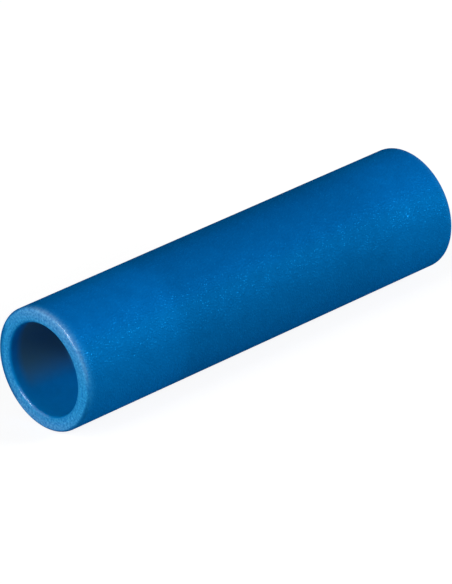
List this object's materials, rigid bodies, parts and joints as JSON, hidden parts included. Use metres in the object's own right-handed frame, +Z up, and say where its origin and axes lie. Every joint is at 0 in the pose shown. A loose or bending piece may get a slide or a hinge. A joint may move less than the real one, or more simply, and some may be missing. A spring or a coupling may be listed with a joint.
{
  "type": "butt splice connector",
  "caption": "Straight blue insulated butt splice: an open moulded sleeve that holds a crimp barrel joining two wires end to end.",
  "frame": {"origin": "centre of the tube, on its axis, level with the wire stop", "axes": "+X along the tube's axis; +Z up, with the tube lying on its side; +Y across it"},
  "size_m": [0.025, 0.0064, 0.0064],
  "materials": {
    "blue_plastic": "fine moulded grain, semi-matt",
    "tinned_copper": "tin plated, satin"
  },
  "bodies": {
    "root": {"insulating_sleeve": "blue_plastic", "crimp_barrel": "tinned_copper"}
  },
  "joints": []
}
